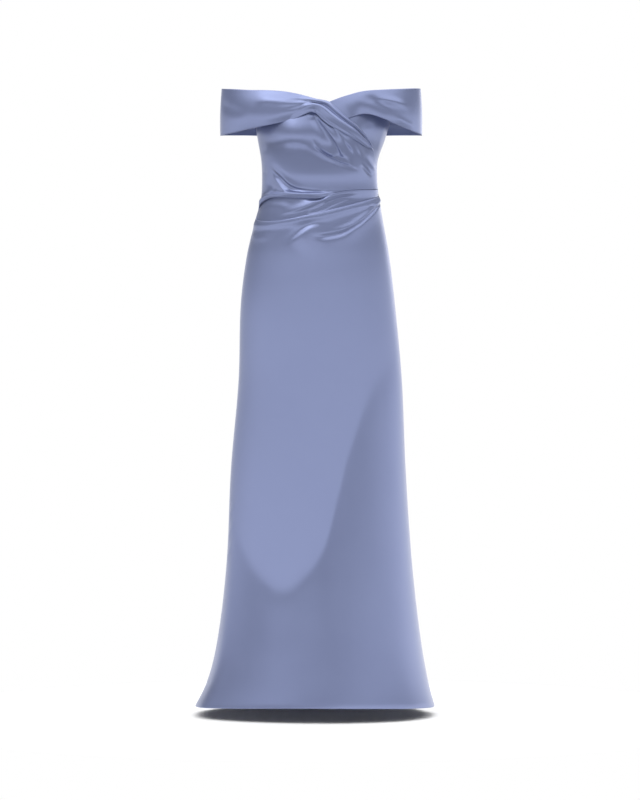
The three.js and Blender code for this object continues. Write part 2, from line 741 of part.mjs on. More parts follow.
// The pull's outline is a narrow eye that widens to a round end.
function pullOutline() {
  const outline = new THREE.Shape();
  const half = PULL.wide / 2;
  const top = PULL.bar / 2;
  outline.moveTo(-PULL.neck / 2, top);
  outline.lineTo(-PULL.neck / 2, top - PULL.bar * 2 - PULL_EYE.long);
  outline.lineTo(-half, -PULL.long + half);
  outline.absarc(0, -PULL.long + half, half, Math.PI, 2 * Math.PI, false);
  outline.lineTo(PULL.neck / 2, top - PULL.bar * 2 - PULL_EYE.long);
  outline.lineTo(PULL.neck / 2, top);
  const eye = new THREE.Path();
  eye.moveTo(-PULL_EYE.wide / 2, top - PULL.bar);
  eye.lineTo(-PULL_EYE.wide / 2, top - PULL.bar - PULL_EYE.long);
  eye.lineTo(PULL_EYE.wide / 2, top - PULL.bar - PULL_EYE.long);
  eye.lineTo(PULL_EYE.wide / 2, top - PULL.bar);
  outline.holes.push(eye);
  return outline;
}

// The slider lies on the collar at the centre back, and its bail carries the pull, which hangs down.
function zipParts() {
  const outside = ringPoint(180, SLIDER.z - SLIDER.long / 2, 0).y + SEAM_GAP;
  const bodyBack = outside + SLIDER.thick;
  const box = (wide, thick, long) => new THREE.BoxGeometry(wide, thick, long);
  const body = solidOf(box(SLIDER.wide, SLIDER.thick, SLIDER.long), 0, outside + SLIDER.thick / 2, 0);
  const barPlace = bodyBack + PULL.clearance + PULL.bar / 2;
  const bailDeep = PULL.bar + 2 * PULL.clearance + SLIDER.bailWall;
  const bail = solidOf(box(SLIDER.bailWide, bailDeep, SLIDER.bailLong), 0, bodyBack + bailDeep / 2, 0);
  const slotLong = SLIDER.bailLong - 2 * SLIDER.bailWall;
  const slotDeep = PULL.bar + 2 * PULL.clearance;
  const slot = solidOf(box(SLIDER.bailWide * 2, slotDeep, slotLong), 0, bodyBack + slotDeep / 2, 0);
  const slider = meshOf(body.add(bail.subtract(slot)), "zip_slider", ZIP_LOOK);
  slider.position.set(0, 0, SLIDER.z);
  const flat = { depth: PULL.thick, bevelEnabled: false, curveSegments: 10 };
  const plate = new THREE.ExtrudeGeometry(pullOutline(), flat);
  plate.translate(0, 0, -PULL.thick / 2).rotateX(Math.PI / 2);
  const pull = meshOf(solidOf(plate), "zip_pull", ZIP_LOOK);
  pull.position.set(0, barPlace, SLIDER.z);
  return [slider, pull];
}

const dress = new THREE.Group();
dress.add(
  bodiceFront(),
  cupRight(),
  waistPanel(),
  skirtFront(),
  ...backPieces(-1, "left"),
  ...backPieces(1, "right"),
  ...collars(),
  ...zipParts(),
);

export default dress;
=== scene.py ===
import math

import bmesh
import bpy
import numpy as np
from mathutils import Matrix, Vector


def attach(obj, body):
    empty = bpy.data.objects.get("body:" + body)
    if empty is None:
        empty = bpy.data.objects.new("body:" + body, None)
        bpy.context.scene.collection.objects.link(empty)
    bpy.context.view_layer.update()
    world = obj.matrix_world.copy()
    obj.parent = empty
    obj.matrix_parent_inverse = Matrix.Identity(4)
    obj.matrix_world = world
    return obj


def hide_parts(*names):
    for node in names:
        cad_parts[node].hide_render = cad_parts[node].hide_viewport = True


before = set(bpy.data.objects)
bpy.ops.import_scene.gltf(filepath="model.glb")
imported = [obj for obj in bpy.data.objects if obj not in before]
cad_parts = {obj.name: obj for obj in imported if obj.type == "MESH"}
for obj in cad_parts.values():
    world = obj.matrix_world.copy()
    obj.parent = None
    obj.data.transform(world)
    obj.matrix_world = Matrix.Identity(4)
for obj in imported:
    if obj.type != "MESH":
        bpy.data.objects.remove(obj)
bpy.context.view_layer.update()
print("frame loaded:", len(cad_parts), "nodes")

# Places are in mm until a mesh is written. A place on the cloth is a turn in degrees round the wearer, from
# 0 at the centre front over 90 at the side on +X to 180 at the centre back, and a height over the waist.

# Inside of the dress by height: reach to -X, to +X, to the front where it lies on the thighs, to the back.
figureRows = [
    (-1240, 304, 272, 132.5, 294),
    (-1148, 259, 248, 131.5, 245),
    (-1040, 234, 230, 130, 205),
    (-868, 214.5, 211, 128, 166),
    (-658, 205, 197, 125.5, 142),
    (-448, 187, 188, 123, 131),
    (-273, 182, 172, 121, 128),
    (-160, 168, 158.5, 117, 121),
    (-84, 150, 145, 108, 103),
    (-28, 135, 135, 100, 88),
    (20, 132, 130, 98, 84),
    (65, 134, 132, 108, 88),
    (112, 142, 148, 116, 92),
    (150, 148, 159, 114, 91),
    (190, 150, 162, 106, 87),
    (240, 151, 164, 98, 84),
]
# Where the front leaves the thighs, by turn, and its reach at the lowest row.
fallRows = [
    (-90, -650), (-73, -739), (-53, -853), (-35, -920), (-22, -942), (-9, -907), (3, -839), (12, -724),
    (20, -621), (37, -483), (52, -437), (82, -344), (90, -325),
]
fall = {"reach": 219, "ease": 11}
cups = {"apart": 74, "z": 108, "rise": 13, "across": 46, "above": 62, "below": 32}

# Soft flutes of the skirt: turn, width in degrees, rise at the hem, height where it starts.
flutes = [
    (-158, 13, 15, -420),
    (-124, 11, 12, -500),
    (-108, 9, 7, -560),
    (-66, 9, 5, -640),
    (48, 12, 4, -760),
    (104, 9, 6, -620),
    (127, 12, 13, -480),
    (160, 13, 14, -440),
]
hem = {"side": -1210, "frontLift": 13, "backDrop": 15}
hemEdge = {"radius": [(0, 1.2), (1, 1.2)], "under": 26, "steps": 6}
collarEdge = {"radius": [(0, 1.0), (0.1, 1.5), (0.9, 1.5), (1, 1.0)], "under": 9}


def smoothRows(rows, at):
    # every column of a table at values of its first column, along smooth curves through its rows
    table = np.array(rows, float)
    keys = table[:, 0]
    index = np.arange(len(keys))
    after = np.minimum(index + 1, len(keys) - 1)
    before = np.maximum(index - 1, 0)
    rates = (table[after] - table[before]) / (keys[after] - keys[before])[:, None]
    at = np.asarray(at, float)
    i = np.clip(np.searchsorted(keys, at) - 1, 0, len(keys) - 2)
    span = (keys[i + 1] - keys[i])[..., None]
    t = np.clip((at[..., None] - keys[i][..., None]) / span, 0, 1)
    startRate = rates[i] * span
    endRate = rates[i + 1] * span
    change = table[i + 1] - table[i]
    bend = 3 * change - 2 * startRate - endRate
    turnBack = startRate + endRate - 2 * change
    return table[i] + t * (startRate + t * (bend + t * turnBack))


def smoothStep(value, low, high):
    t = np.clip((value - low) / (high - low), 0, 1)
    return t * t * (3 - 2 * t)


def fallOff(distance, width):
    return np.exp(-((distance / width) ** 2))


def mix(a, b, share):
    return a + (b - a) * share


def unit(vectors):
    length = np.linalg.norm(vectors, axis=-1, keepdims=True)
    return vectors / np.maximum(length, 1e-9)


def fluteRise(turn, z):
    rise = np.zeros(np.broadcast(turn, z).shape)
    for at, wide, high, start in flutes:
        grown = np.clip((start - z) / (start - hem["side"]), 0, None) ** 1.5
        rise = rise + high * grown * fallOff(turn - at, wide)
    return rise


def frontFall(turn, z):
    # how much further out the front lies below the fall line
    line = smoothRows(fallRows, turn)[..., 1]
    slope = (fall["reach"] - figureRows[0][3]) / (line - figureRows[0][0])
    return slope * fall["ease"] * np.logaddexp(0, (line - z) / fall["ease"])


def figurePoint(turn, z):
    reach = smoothRows(figureRows, z)
    angle = np.radians(turn)
    flute = fluteRise(turn, z)
    x = (np.where(turn < 0, reach[..., 1], reach[..., 2]) + flute) * np.sin(angle)
    front = np.abs(turn) < 90
    y = -(np.where(front, reach[..., 3] + frontFall(turn, z), reach[..., 4]) + flute) * np.cos(angle)
    beside = fallOff(np.abs(x) - cups["apart"], cups["across"])
    upright = fallOff(z - cups["z"], np.where(z > cups["z"], cups["above"], cups["below"]))
    swell = cups["rise"] * beside * upright * np.clip(2 * np.cos(angle), 0, 1)
    return np.stack([x, y - swell, z + 0 * x], axis=-1)


def outwardAt(surface, a, b, stepA, stepB):
    along = surface(a + stepA, b) - surface(a - stepA, b)
    up = surface(a, b + stepB) - surface(a, b - stepB)
    return unit(np.cross(along, up))


def meanRadius(z):
    return smoothRows(figureRows, z)[..., 1:5].mean(axis=-1)


def unrolled(turn, z):
    # mm round the figure and mm of height
    return np.stack([np.radians(turn) * meanRadius(z), z + 0 * turn], axis=-1)


def nearLine(line, place):
    # how far places are from a line, on which side, how far along it, and the direction to its upper side
    distance = np.full(place.shape[:-1], 1e9)
    side = np.ones_like(distance)
    along = np.zeros_like(distance)
    upper = np.zeros_like(place)
    for i in range(len(line) - 1):
        step = line[i + 1] - line[i]
        to = place - line[i]
        t = np.clip(to @ step / (step @ step), 0, 1)
        gap = to - t[..., None] * step
        away = np.hypot(gap[..., 0], gap[..., 1])
        closer = away < distance
        distance = np.where(closer, away, distance)
        above = step[0] * to[..., 1] - step[1] * to[..., 0] >= 0
        side = np.where(closer, np.where(above, 1, -1), side)
        along = np.where(closer, (i + t) / (len(line) - 1), along)
        normal = np.array([-step[1], step[0]]) / math.hypot(*step)
        upper = np.where(closer[..., None], normal, upper)
    return distance, side, along, upper


def pathLine(path, steps=32):
    spots = np.column_stack([np.arange(len(path)), np.array(path, float)])
    curve = smoothRows(spots, np.linspace(0, len(path) - 1, steps + 1))
    return unrolled(curve[:, 1], curve[:, 2])


def layFolds(folds, turn, z):
    # what the folds add outwards, and how far they push the cloth sideways over their sharp side
    place = unrolled(turn, z)
    rise = np.zeros(place.shape[:-1])
    push = np.zeros_like(place)
    for fold in folds:
        distance, side, along, upper = nearLine(pathLine(fold["path"]), place)
        width = np.where(side > 0, fold["above"], fold["below"])
        start, end = fold.get("fade", (0.2, 0.2))
        ends = smoothStep(along, 0, start) * (1 - smoothStep(along, 1 - end, 1))
        bump = ends * fallOff(distance, width)
        rise += fold["rise"] * bump
        push -= fold.get("lean", 0) * bump[..., None] * upper
    return rise, push


def turnedEdge(surface, across, edge, turned):
    # rows that carry an edge round a half circle and back under the cloth
    here = surface(across, edge + 0 * across)
    inside = surface(across, abs(edge - 0.012) + 0 * across)
    beyond = unit(here - inside)
    ahead = surface(np.minimum(across + 0.004, 1), edge + 0 * across)
    behind = surface(np.maximum(across - 0.004, 0), edge + 0 * across)
    out = unit(np.cross(ahead - behind, beyond)) * (1 if edge else -1)
    radius = smoothRows(turned["radius"], across)[:, 1:]
    rows = []
    for angle in np.linspace(0, math.pi, 7)[1:]:
        rows.append(here + radius * (math.sin(angle) * beyond - (1 - math.cos(angle)) * out))
    for back in np.linspace(0, turned["under"], turned.get("steps", 4) + 1)[1:]:
        rows.append(rows[5] - back * beyond)
    return np.array(rows)


def clothPiece(name, piece, surface):
    # a grid of the piece's own size, laid on its surface, with its edges turned under and a wall inwards
    across = np.linspace(0, 1, piece["columns"] + 1)
    up = np.linspace(0, 1, piece["rows"] + 1)
    rows = surface(*np.meshgrid(across, up))
    if "lowEdge" in piece:
        rows = np.concatenate([turnedEdge(surface, across, 0, piece["lowEdge"])[::-1], rows])
    if "highEdge" in piece:
        rows = np.concatenate([rows, turnedEdge(surface, across, 1, piece["highEdge"])])
    columns, count = piece["columns"], len(rows) - 1
    bm = bmesh.new()
    bm.loops.layers.uv.new("cloth")
    bmesh.ops.create_grid(bm, x_segments=columns, y_segments=count, size=0.5, calc_uvs=True)
    for vert in bm.verts:
        i = round((vert.co.x + 0.5) * columns)
        j = round((vert.co.y + 0.5) * count)
        vert.co = rows[j, i] / 1000
    mesh = bpy.data.meshes.new(name)
    bm.to_mesh(mesh)
    bm.free()
    # the flat piece's own metres, so that the weave keeps its size
    spots = np.empty(len(mesh.loops) * 2, np.float32)
    mesh.uv_layers["cloth"].data.foreach_get("uv", spots)
    spots = spots.reshape(-1, 2) * np.array(piece["flat"], np.float32)
    mesh.uv_layers["cloth"].data.foreach_set("uv", spots.ravel())
    mesh.shade_smooth()
    cloth = bpy.data.objects.new(name, mesh)
    bpy.context.scene.collection.objects.link(cloth)
    wall = cloth.modifiers.new("wall", "SOLIDIFY")
    wall.thickness = piece["wall"] / 1000
    wall.offset = -1
    cloth.data.materials.append(satin)
    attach(cloth, "dress")
    print(name, "laid:", (columns, count))
    return cloth


# Satin: a close weave with a soft sheen that runs along the threads.
satinLook = {
    "colour": (0.232, 0.272, 0.456),
    "deep": (0.212, 0.248, 0.426),
    "roughness": 0.33,
    "metallic": 0.62,
    "sheen": 0.15,
    "sheenRoughness": 0.35,
    "alongThreads": 0.35,
    "threads": 2600,
    "relief": 0.05,
}


def makeSatin():
    material = bpy.data.materials.new("satin")
    material.use_nodes = True
    nodes, links = material.node_tree.nodes, material.node_tree.links
    shader = nodes["Principled BSDF"]
    shader.inputs["Metallic"].default_value = satinLook["metallic"]
    shader.inputs["Sheen Weight"].default_value = satinLook["sheen"]
    shader.inputs["Sheen Roughness"].default_value = satinLook["sheenRoughness"]
    shader.inputs["Anisotropic"].default_value = satinLook["alongThreads"]
    place = nodes.new("ShaderNodeTexCoord")
    threads = nodes.new("ShaderNodeUVMap")
    threads.uv_map = "cloth"
    # faint unevenness of the dye over a few centimetres
    cloudy = nodes.new("ShaderNodeTexNoise")
    cloudy.inputs["Scale"].default_value = 9
    cloudy.inputs["Detail"].default_value = 3
    tint = nodes.new("ShaderNodeMix")
    tint.data_type = "RGBA"
    tint.inputs["A"].default_value = (*satinLook["deep"], 1)
    tint.inputs["B"].default_value = (*satinLook["colour"], 1)
    links.new(place.outputs["Object"], cloudy.inputs["Vector"])
    links.new(cloudy.outputs["Fac"], tint.inputs["Factor"])
    links.new(tint.outputs["Result"], shader.inputs["Base Color"])
    gloss = nodes.new("ShaderNodeMapRange")
    gloss.inputs["To Min"].default_value = satinLook["roughness"] - 0.03
    gloss.inputs["To Max"].default_value = satinLook["roughness"] + 0.03
    links.new(cloudy.outputs["Fac"], gloss.inputs["Value"])
    links.new(gloss.outputs["Result"], shader.inputs["Roughness"])
    # warp and weft
    warp = nodes.new("ShaderNodeTexWave")
    warp.bands_direction = "X"
    waves = satinLook["threads"] / 20 * math.pi
    warp.inputs["Scale"].default_value = waves
    warp.inputs["Distortion"].default_value = 0.6
    weft = nodes.new("ShaderNodeTexWave")
    weft.bands_direction = "Y"
    weft.inputs["Scale"].default_value = waves
    weft.inputs["Distortion"].default_value = 0.6
    slubs = nodes.new("ShaderNodeTexNoise")
    slubs.inputs["Scale"].default_value = 240
    stretch = nodes.new("ShaderNodeMapping")
    stretch.inputs["Scale"].default_value = (1, 0.08, 1)
    links.new(threads.outputs["UV"], warp.inputs["Vector"])
    links.new(threads.outputs["UV"], weft.inputs["Vector"])
    links.new(threads.outputs["UV"], stretch.inputs["Vector"])
    links.new(stretch.outputs["Vector"], slubs.inputs["Vector"])
    weave = nodes.new("ShaderNodeMath")
    weave.operation = "ADD"
    links.new(warp.outputs["Fac"], weave.inputs[0])
    links.new(weft.outputs["Fac"], weave.inputs[1])
    surface = nodes.new("ShaderNodeMath")
    surface.operation = "ADD"
    links.new(weave.outputs["Value"], surface.inputs[0])
    links.new(slubs.outputs["Fac"], surface.inputs[1])
    bump = nodes.new("ShaderNodeBump")
    bump.inputs["Strength"].default_value = satinLook["relief"]
    bump.inputs["Distance"].default_value = 0.0001
    links.new(surface.outputs["Value"], bump.inputs["Height"])
    links.new(bump.outputs["Normal"], shader.inputs["Normal"])
    return material


satin = makeSatin()
print("satin ready")

# Heights of the edges, by turn.
bodiceBottomRows = [
    (-90, -58), (-83, -48), (-70, -36), (-52, -28), (-20, -30.5), (0, -31), (14, -19), (27, -12.5),
    (50, -8.5), (90, -4),
]
skirtTopRows = [
    (-90, -61), (-83, -71), (-70, -78), (-52, -82), (-32, -80), (-9, -68.5), (19, -51.5), (52, -32.5),
    (90, -18),
]
bodiceTopRows = [(-90, 156), (-60, 186), (-32, 196), (-10, 188), (6, 182), (30, 196), (60, 188), (90, 156)]
cupSeamRows = [(6, 176), (22, 151), (37, 125), (46, 104), (62, 84), (76, 57), (90, 44)]
seamStart = 6
seamGap = 0.4
backWaist = -30
underarm = 156


def heightOf(rows):
    return lambda turn: smoothRows(rows, turn)[..., 1]


bodiceBottom = heightOf(bodiceBottomRows)
skirtTop = heightOf(skirtTopRows)
bodiceTop = heightOf(bodiceTopRows)
cupSeam = heightOf(cupSeamRows)


def hemHeight(turn):
    ahead = np.cos(np.radians(turn))
    swing = np.where(ahead > 0, hem["frontLift"], hem["backDrop"])
    return hem["side"] + swing * ahead * np.abs(ahead) ** 0.5


def crowded(u):
    # columns lie closer at the centre front, where the folds are
    return u + 0.38 * np.sin(2 * np.pi * u) / (2 * np.pi)


def figureSurface(piece, low, high, stand, columnAt=crowded, rowAt=lambda v: v):
    # stand gives how far out the cloth lies and how far its folds push it sideways
    start, end = piece["turns"]

    def surface(u, v):
        rough = mix(start, end, columnAt(u))
        z = mix(low(rough), high(rough), rowAt(v))
        gap = np.degrees(seamGap / 2 / meanRadius(z))
        turn = mix(start + gap, end - gap, columnAt(u))
        out, push = stand(turn, z)
        inner = 1 - smoothStep(np.abs(2 * u - 1), 0.9, 1)
        out = mix(np.minimum(out, piece.get("seamStand", 99)), out, inner)
        turn = turn + np.degrees(push[..., 0] * inner / meanRadius(z))
        z = z + push[..., 1] * inner
        normal = outwardAt(figurePoint, turn, z, 0.5, 2)
        return figurePoint(turn, z) + normal * out[..., None]

    return surface


# The draped bodice. Each fold follows turns and heights, and falls off over mm above and below its line.
bodice = {
    "turns": (-90, 90),
    "columns": 290,
    "rows": 140,
    "wall": 1.1,
    "flat": (0.45, 0.27),
    "area": 0.079,
    "stand": 4.2,
    "seamStand": 3.2,
    "lowEdge": {"radius": [(0, 0.7), (0.08, 1.6), (0.48, 1.6), (0.6, 0.8), (1, 0.7)], "under": 7},
    "highEdge": {"radius": [(0, 1.0), (0.8, 1.1), (0.9, 1.8), (1, 1.6)], "under": 4},
    "folds": [
        # left cup: swell with a soft lower border that runs on into the drag fold
        {"path": [(-84, 126), (-52, 104), (-24, 104), (-12, 97), (-4, 85), (6, 70), (18, 57)],
         "rise": 5.6, "above": 44, "below": 12, "fade": (0.3, 0.3)},
        # drag fold from the left cup to the right side: thin rim and the pocket above it
        {"path": [(-11, 98), (-5, 83), (2, 71), (8, 63), (15, 56), (23, 49), (33, 42), (46, 34)],
         "rise": 2.6, "above": 2.8, "below": 5, "lean": -1.6, "fade": (0.35, 0.35)},
        {"path": [(-8, 110), (-4, 93), (1, 79), (6, 70), (12, 63), (19, 57), (28, 51), (38, 43)],
         "rise": -5, "above": 4.2, "below": 2.4, "fade": (0.4, 0.3)},
        {"path": [(11, 74), (18, 64), (27, 56), (36, 50)],
         "rise": -3.2, "above": 8, "below": 4, "fade": (0.35, 0.4)},
        # hollow under the arch
        {"path": [(-12, 162), (-4, 164), (3, 156), (9, 144)],
         "rise": -3, "above": 9, "below": 8, "fade": (0.3, 0.3)},
        # pleats that hang from the twist
        {"path": [(-6, 172), (0, 150), (6, 130), (12, 111), (17.5, 93), (21, 78), (22, 62)],
         "rise": 5, "above": 10, "below": 3.4, "lean": 1.6, "fade": (0.2, 0.2)},
        {"path": [(-7, 160), (-2, 140), (4, 118), (10, 100), (15, 84)],
         "rise": -2.6, "above": 4, "below": 9, "fade": (0.15, 0.35)},
        {"path": [(8, 152), (15, 130), (23, 108), (31, 88), (37, 68)],
         "rise": 3.6, "above": 12, "below": 4.5, "lean": 1.2, "fade": (0.15, 0.35)},
        {"path": [(24, 124), (34, 100), (43, 76), (52, 56)],
         "rise": 2.2, "above": 9, "below": 5, "fade": (0.2, 0.4)},
        {"path": [(44, 56), (54, 39), (66, 22)],
         "rise": -2.4, "above": 3.6, "below": 6, "fade": (0.35, 0.4)},
        {"path": [(48, 74), (60, 54), (76, 36)], "rise": 2, "above": 9, "below": 7, "fade": (0.35, 0.35)},
        # waist: upper rim, groove, ridge that curls up on the left, and the roll at the bottom edge
        {"path": [(-58, 52), (-50, 38), (-41, 23), (-33, 7), (-24, -4), (-12, -9)],
         "rise": 2.6, "above": 9, "below": 2.6, "fade": (0.3, 0.4)},
        {"path": [(-49, 34), (-44, 19), (-39, 8), (-33, -3), (-26, -10), (-18, -14), (-8, -15), (4, -14)],
         "rise": -6.5, "above": 4.4, "below": 3.2, "fade": (0.3, 0.45)},
        {"path": [(-30, -9), (-18, -14), (-4, -14.5), (10, -13.5), (24, -11)],
         "rise": -3.4, "above": 1.7, "below": 1.7, "fade": (0.3, 0.3)},
        {"path": [(-56, 40), (-52, 25), (-46, 9), (-40, -6), (-33, -15), (-18, -19), (0, -19), (12, -19)],
         "rise": 3, "above": 3, "below": 7, "fade": (0.3, 0.35)},
        {"path": [(-66, 16), (-54, -4), (-56, -20)],
         "rise": -2, "above": 8, "below": 10, "fade": (0.35, 0.35)},
        {"path": [(-104, -50), (-80, -34), (-62, -22), (-26, -22), (2, -23), (18, -16)],
         "rise": 4.6, "above": 6, "below": 9, "fade": (0.16, 0.35)},
        # drags towards the side seams
        {"path": [(-88, 88), (-70, 84), (-54, 86)],
         "rise": 0.8, "above": 9, "below": 8, "fade": (0.3, 0.3)},
        {"path": [(-88, 44), (-74, 36), (-62, 34)],
         "rise": -0.9, "above": 8, "below": 8, "fade": (0.3, 0.3)},
    ],
}
panelStand = 1.7
leastStand = 1.6
panelGap = 0.8
onPanel = panelStand + leastStand + panelGap
tucked = 13  # how far the waist panel runs on under its neighbours


def bodiceHigh(turn):
    draped = mix(bodiceTop(turn), cupSeam(seamStart) - seamGap, smoothStep(turn, 0, seamStart))
    return np.where(turn > seamStart, cupSeam(turn) - seamGap, draped)


def bodiceStand(turn, z):
    rise, push = layFolds(bodice["folds"], turn, z)
    over = 1 - smoothStep(z - bodiceBottom(turn), tucked, 1.6 * tucked)
    least = mix(leastStand, onPanel, over)
    free = smoothStep(z - bodiceBottom(turn), 4, 14)
    return np.maximum(bodice["stand"] + rise, least), push * free[..., None]


bodiceCloth = clothPiece("bodice_drape", bodice, figureSurface(
    bodice, lambda turn: bodiceBottom(turn) + 1.2, bodiceHigh, bodiceStand,
    rowAt=lambda v: 0.7 * v + 0.3 * v ** 3))
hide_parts("bodice_front")

cup = {
    "turns": (seamStart, 90),
    "columns": 80,
    "rows": 60,
    "wall": 1.2,
    "flat": (0.19, 0.16),
    "area": 0.0165,
    "stand": 3.2,
    "folds": [
        {"path": [(46, 190), (44, 160), (48, 128)], "rise": -0.7, "above": 10, "below": 14},
        {"path": [(70, 150), (68, 118), (70, 84)], "rise": 0.8, "above": 12, "below": 9},
    ],
}


def cupStand(turn, z):
    rise, push = layFolds(cup["folds"], turn, z)
    return cup["stand"] + rise, push


cupCloth = clothPiece("cup_cloth", cup, figureSurface(
    cup, lambda turn: cupSeam(turn) + seamGap, bodiceTop, cupStand, columnAt=lambda u: u))
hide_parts("cup_right")

waist = {
    "turns": (-90, 90),
    "columns": 240,
    "rows": 46,
    "wall": 1.1,
    "flat": (0.43, 0.1),
    "area": 0.0223,
    # where the panel comes level with the bodice's edge instead of running under it
    "level": (-2, 16),
    "sideStand": 1.6,
    "folds": [
        {"path": [(-48, -68), (-30, -62), (-16, -53), (-6, -43), (3, -33), (12, -25), (25, -19), (48, -14)],
         "rise": 4, "above": 12, "below": 4.5, "fade": (0.4, 0.25)},
        {"path": [(-13, -66), (-5, -59), (2, -52), (9, -41), (22, -30), (38, -22)],
         "rise": -3.4, "above": 3.2, "below": 6, "fade": (0.25, 0.35)},
        {"path": [(-90, -62), (-62, -48), (-40, -48), (-26, -56)],
         "rise": 1.6, "above": 10, "below": 14, "fade": (0.3, 0.3)},
    ],
}


def waistStand(turn, z):
    rise, push = layFolds(waist["folds"], turn, z)
    level = smoothStep(turn, *waist["level"])
    under = smoothStep(z - skirtTop(turn), 0, 7)
    shown = mix(smoothStep(bodiceBottom(turn) - z, 0, 7), 1, level) * under
    side = level * under * (1 - smoothStep(bodiceBottom(turn) - z, 0, 22))
    flat = panelStand + side * (bodiceStand(turn, bodiceBottom(turn) + 1.2)[0] - panelStand - 0.3)
    flat = flat + waist["sideStand"] * (1 - smoothStep(turn, -88, -78)) * (1 - level)
    return np.maximum(flat + rise * shown, 1.15), push * shown[..., None]


def waistHigh(turn):
    return bodiceBottom(turn) + mix(tucked, -0.35, smoothStep(turn, *waist["level"]))


waistCloth = clothPiece("waist_drape", waist, figureSurface(
    waist, lambda turn: skirtTop(turn) - tucked, waistHigh, waistStand))
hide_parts("waist_panel")
print("bodice and waist laid")

# The skirt front, pleated into the right side seam.
skirt = {
    "turns": (-90, 90),
    "columns": 200,
    "rows": 200,
    "wall": 1.1,
    "flat": (0.66, 1.21),
    "area": 0.664,
    "topStand": 7,
    "seamStand": 3.2,
    "stand": 3,
    "easedOver": 140,
    "highEdge": {"radius": [(0, 0.7), (0.08, 1.5), (0.9, 1.5), (1, 0.8)], "under": 6},
    "lowEdge": hemEdge,
    "folds": [
        {"path": [(-108, -78), (-58, -91), (-10, -78), (40, -48), (112, -20)],
         "rise": 3, "above": 13, "below": 10, "fade": (0.14, 0.14)},
        # side pleat: a broad roll over a sharp groove that softens to the left
        {"path": [(104, -17), (84, -29), (66, -46), (50, -64), (38, -82), (26, -98), (12, -108), (-4, -113)],
         "rise": 2.8, "above": 26, "below": 9, "lean": 0.6, "fade": (0.1, 0.35)},
        {"path": [(104, -25), (84, -35), (65, -50), (50, -69), (37.5, -88), (25, -104.5), (14.7, -115),
                  (-2, -122)],
         "rise": -3.6, "above": 4.2, "below": 1.9, "fade": (0.04, 0.3)},
        {"path": [(34, -96), (20, -110), (6, -118), (-8, -121)],
         "rise": -2.6, "above": 8, "below": 4, "fade": (0.4, 0.35)},
        {"path": [(52, -46), (60, -47), (70, -49)],
         "rise": -1.6, "above": 3, "below": 4, "fade": (0.4, 0.4)},
        # slanting fold with a lit face at the left of the middle
        {"path": [(-30, -140), (-23, -122), (-16, -104), (-9, -92), (4, -84)],
         "rise": -2.6, "above": 10, "below": 6, "fade": (0.4, 0.35)},
        {"path": [(-25, -142), (-16, -122), (-6, -106), (8, -96)],
         "rise": 2.6, "above": 13, "below": 30, "fade": (0.4, 0.35)},
        {"path": [(-80, -112), (-60, -119), (-38, -112)],
         "rise": 1.2, "above": 8, "below": 10, "fade": (0.35, 0.35)},
        # small drags at the left side
        {"path": [(-86, -770), (-74, -752), (-64, -740)],
         "rise": 1.4, "above": 7, "below": 8, "fade": (0.3, 0.4)},
        {"path": [(-86, -824), (-76, -800), (-66, -786)],
         "rise": 1.2, "above": 7, "below": 8, "fade": (0.3, 0.4)},
        {"path": [(-86, -872), (-78, -850), (-70, -836)],
         "rise": 1.2, "above": 7, "below": 8, "fade": (0.3, 0.4)},
    ],
}


def skirtStand(turn, z):
    rise, push = layFolds(skirt["folds"], turn, z)
    depth = skirtTop(turn) - z
    belly = (skirt["topStand"] - skirt["stand"]) * np.clip(np.cos(np.radians(turn)), 0, 1) ** 1.3
    base = skirt["stand"] + belly * (1 - smoothStep(depth, 0, skirt["easedOver"]))
    least = mix(onPanel, leastStand, smoothStep(depth, tucked, 1.6 * tucked))
    return np.maximum(base + rise, least), push


def skirtRow(v):
    # rows lie closer below the waist
    return 1 - (0.3 * (1 - v) + 0.7 * (1 - v) ** 2.2)


skirtCloth = clothPiece("skirt_front_cloth", skirt, figureSurface(
    skirt, lambda turn: hemHeight(turn) + 1.2, lambda turn: skirtTop(turn) - 1.6, skirtStand, rowAt=skirtRow))
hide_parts("skirt_front")
print("skirt front laid")

# The back, in two halves with the zip between them.
bodiceBack = {
    "columns": 60,
    "rows": 56,
    "wall": 1.2,
    "flat": (0.2, 0.19),
    "area": 0.036,
    "stand": 3,
    "highEdge": {"radius": [(0, 1.0), (1, 1.0)], "under": 6},
    "folds": [
        {"path": [(104, -24), (128, -4), (158, 6)], "rise": 1.4, "above": 9, "below": 7},
        {"path": [(102, 4), (124, 26), (150, 40)], "rise": -1.1, "above": 9, "below": 9},
        {"path": [(112, 96), (138, 104), (166, 98)], "rise": 1.0, "above": 13, "below": 10},
    ],
}
skirtBack = {
    "columns": 100,
    "rows": 140,
    "wall": 1.1,
    "flat": (0.45, 1.21),
    "area": 0.364,
    "stand": 3,
    "lowEdge": hemEdge,
    "folds": [
        {"path": [(94, -70), (116, -96), (146, -108)], "rise": 2.2, "above": 12, "below": 10},
        {"path": [(94, -128), (118, -150), (150, -156)], "rise": -1.8, "above": 14, "below": 12},
        {"path": [(150, -120), (163, -240), (168, -380)], "rise": 1.6, "above": 16, "below": 16},
    ],
}


def backPiece(name, piece, side, low, high, node, rowAt):
    def stand(turn, z):
        rise, push = layFolds(piece["folds"], np.abs(turn), z)
        edge = smoothStep(np.abs(turn), 90, 97) * (1 - smoothStep(np.abs(turn), 173, 180))
        rise = rise * edge * (1 if side > 0 else 0.8)
        return piece["stand"] + rise, push * 0

    turns = {"turns": (90, 180) if side > 0 else (-180, -90)}
    surface = figureSurface({**piece, **turns}, low, high, stand, columnAt=lambda u: u, rowAt=rowAt)
    cloth = clothPiece(name, piece, surface)
    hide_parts(node)


